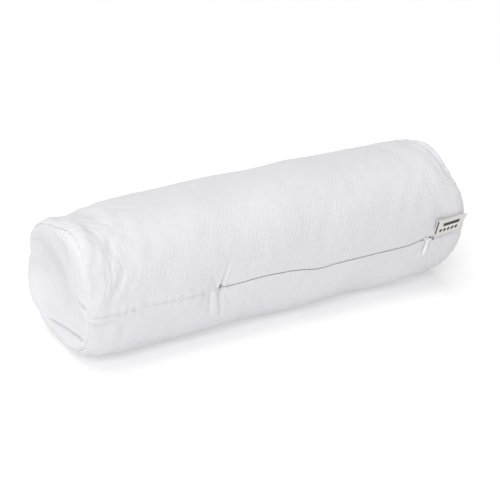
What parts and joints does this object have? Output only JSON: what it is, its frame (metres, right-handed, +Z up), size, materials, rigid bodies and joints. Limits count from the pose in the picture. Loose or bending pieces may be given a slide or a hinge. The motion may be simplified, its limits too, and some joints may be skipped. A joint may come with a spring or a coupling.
{
  "type": "bolster pillow",
  "caption": "Cylindrical bolster pillow with a removable zipped fabric cover, round end panels, a side seam with a woven label, and a stuffed inner casing.",
  "frame": {"origin": "on the floor, under the middle of the bounding box", "axes": "+X along the roll towards the label end, +Y to the back, away from the zip, +Z up"},
  "size_m": [0.456, 0.1609, 0.149],
  "materials": {
    "cover_fabric": "white cotton weave with broken diagonal ribs, matt",
    "casing_fabric": "plain unbleached-white calico, matt",
    "fibre": "carded white polyester fibre, matt",
    "sewing_thread": "white spun polyester thread",
    "zip_tape": "white herringbone zip tape",
    "zip_nylon": "white nylon coil, semi-gloss",
    "slider_enamel": "white enamelled zinc, gloss",
    "label_weave": "beige-grey satin woven label"
  },
  "bodies": {
    "cover": {"cover_body_panel": "cover_fabric", "cover_end_left": "cover_fabric", "cover_end_right": "cover_fabric", "end_seam_thread_left": "sewing_thread", "end_seam_thread_right": "sewing_thread", "side_seam_thread_left": "sewing_thread", "side_seam_thread_right": "sewing_thread", "bar_tack_left": "sewing_thread", "bar_tack_right": "sewing_thread", "zip_tape_upper": "zip_tape", "zip_tape_lower": "zip_tape", "zip_stitch_upper": "sewing_thread", "zip_stitch_lower": "sewing_thread", "zip_coil_upper": "zip_nylon", "zip_coil_lower": "zip_nylon", "zip_top_stop_upper": "zip_nylon", "zip_top_stop_lower": "zip_nylon", "zip_bottom_stop": "zip_nylon", "woven_label": "label_weave", "casing_body": "casing_fabric", "casing_end_left": "casing_fabric", "casing_end_right": "casing_fabric", "casing_end_thread_left": "sewing_thread", "casing_end_thread_right": "sewing_thread", "casing_closing_thread": "sewing_thread", "fibre_fill": "fibre"},
    "slider": {"zip_slider_body": "slider_enamel"},
    "pull_tab": {"zip_pull_tab": "slider_enamel"}
  },
  "joints": [
    {"name": "slider_travel", "type": "slide", "parent": "cover", "child": "slider", "axis": [-1, 0, 0], "range_m": [0, 0.25], "deforming": ["zip_coil_upper", "zip_coil_lower"]},
    {"name": "pull_tab_swing", "type": "hinge", "parent": "slider", "child": "pull_tab", "pos_m": [0.177, -0.08055, 0.06776], "axis": [-1, 0, 0], "range_deg": [0, 165]}
  ]
}
